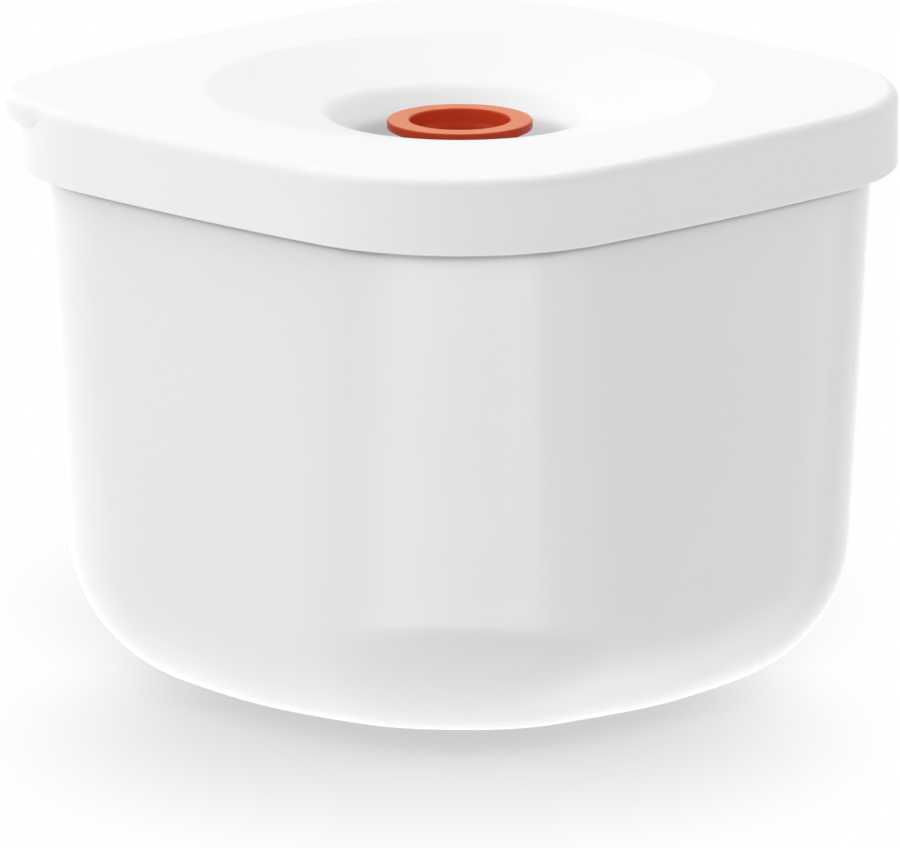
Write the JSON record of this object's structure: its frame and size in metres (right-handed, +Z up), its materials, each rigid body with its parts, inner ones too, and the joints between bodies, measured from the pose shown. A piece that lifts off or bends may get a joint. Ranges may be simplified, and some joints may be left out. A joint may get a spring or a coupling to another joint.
{
  "type": "vacuum seal canister",
  "caption": "Rounded square food canister with a skirted lift-off lid, a gasket, and a sprung lift valve in a funnel that lets air out and holds a vacuum.",
  "frame": {"origin": "middle of the flat base of the container", "axes": "+Z up through the valve; the finger lip of the lid is on the -X -Y corner"},
  "size_m": [0.17, 0.17, 0.135],
  "materials": {
    "container": "milky, satin gloss",
    "lid": "white, fine satin",
    "liner": "white, satin",
    "gasket": "milky silicone",
    "knob": "red-orange silicone, satin",
    "seal": "milky silicone",
    "stem": "natural white",
    "spring": "drawn wire",
    "clip": "stamped",
    "guard": "white, satin"
  },
  "bodies": {
    "container": {"container": "container"},
    "lid": {"lid_cover": "lid", "lid_liner": "liner", "lid_gasket": "gasket", "valve_spring": "spring", "valve_guard": "guard"},
    "valve": {"valve_knob": "knob", "valve_seal": "seal", "valve_stem": "stem", "stem_clip": "clip"}
  },
  "joints": [
    {"name": "lid_lift", "type": "slide", "parent": "container", "child": "lid", "axis": [0, 0, 1], "range_m": [0, 0.16]},
    {"name": "valve_lift", "type": "slide", "parent": "lid", "child": "valve", "axis": [0, 0, 1], "range_m": [0, 0.0025], "stiffness_N_per_m": 250, "springref_m": -0.004, "deforming": ["valve_spring"]}
  ]
}
